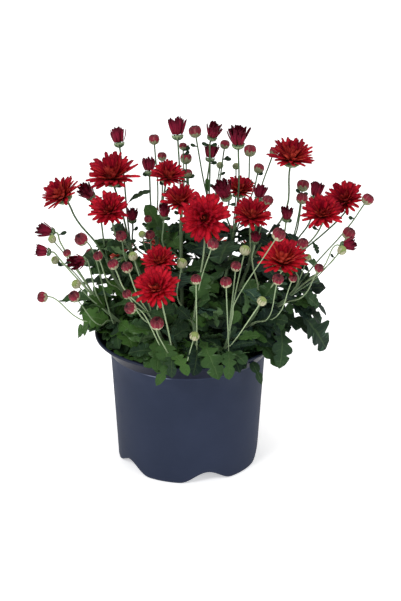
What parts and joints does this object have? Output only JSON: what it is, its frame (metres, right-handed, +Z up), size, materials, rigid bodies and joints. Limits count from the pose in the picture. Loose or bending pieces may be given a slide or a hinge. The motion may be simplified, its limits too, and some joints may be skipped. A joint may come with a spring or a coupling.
{
  "type": "pot chrysanthemum",
  "caption": "Flowering pot chrysanthemum: leafy stems with layered red blooms, half-open heads and buds, standing in soil in a flared nursery pot.",
  "frame": {"origin": "centre of the pot's underside, on the surface that it stands on", "axes": "+Z up, -Y towards the side that the picture shows, +X to the right seen from there"},
  "size_m": [0.3395, 0.2778, 0.3529],
  "materials": {
    "slate_plastic": "matte",
    "compost": "matte",
    "leaf_green": "matte",
    "petal_red": "matte",
    "half_open_crimson": "matte"
  },
  "bodies": {
    "root": {"bloom_01": "petal_red", "bloom_02": "petal_red", "bloom_03": "petal_red", "bloom_04": "petal_red", "bloom_05": "petal_red", "bloom_06": "petal_red", "bloom_07": "petal_red", "bloom_08": "petal_red", "bloom_09": "petal_red", "bloom_10": "petal_red", "bloom_11": "petal_red", "bloom_12": "petal_red", "bloom_13": "petal_red", "bloom_14": "petal_red", "bloom_15": "petal_red", "bloom_16": "petal_red", "bloom_17": "petal_red", "bloom_18": "petal_red", "half_open_01": "half_open_crimson", "half_open_02": "half_open_crimson", "half_open_03": "half_open_crimson", "half_open_04": "half_open_crimson", "half_open_05": "half_open_crimson", "half_open_06": "half_open_crimson", "half_open_07": "half_open_crimson", "half_open_08": "half_open_crimson", "half_open_09": "half_open_crimson", "half_open_10": "half_open_crimson", "half_open_11": "half_open_crimson", "half_open_12": "half_open_crimson", "half_open_13": "half_open_crimson", "half_open_14": "half_open_crimson", "half_open_15": "half_open_crimson", "half_open_16": "half_open_crimson", "half_open_17": "half_open_crimson", "half_open_18": "half_open_crimson", "half_open_19": "half_open_crimson", "half_open_20": "half_open_crimson", "leafy_stem_01_left_low": "leaf_green", "leafy_stem_02_left": "leaf_green", "leafy_stem_03_left_rear": "leaf_green", "leafy_stem_04_rear_left": "leaf_green", "leafy_stem_05_middle_left": "leaf_green", "leafy_stem_06_middle_right": "leaf_green", "leafy_stem_07_rear_right": "leaf_green", "leafy_stem_08_right_rear": "leaf_green", "leafy_stem_09_right": "leaf_green", "leafy_stem_10_right_low": "leaf_green", "leafy_stem_11_front_right": "leaf_green", "leafy_stem_12_front_middle_right": "leaf_green", "leafy_stem_13_front_middle": "leaf_green", "leafy_stem_14_front_left": "leaf_green", "leafy_stem_15_back_left": "leaf_green", "leafy_stem_16_back_right": "leaf_green", "nursery_pot": "slate_plastic", "root_ball": "compost"}
  },
  "joints": []
}
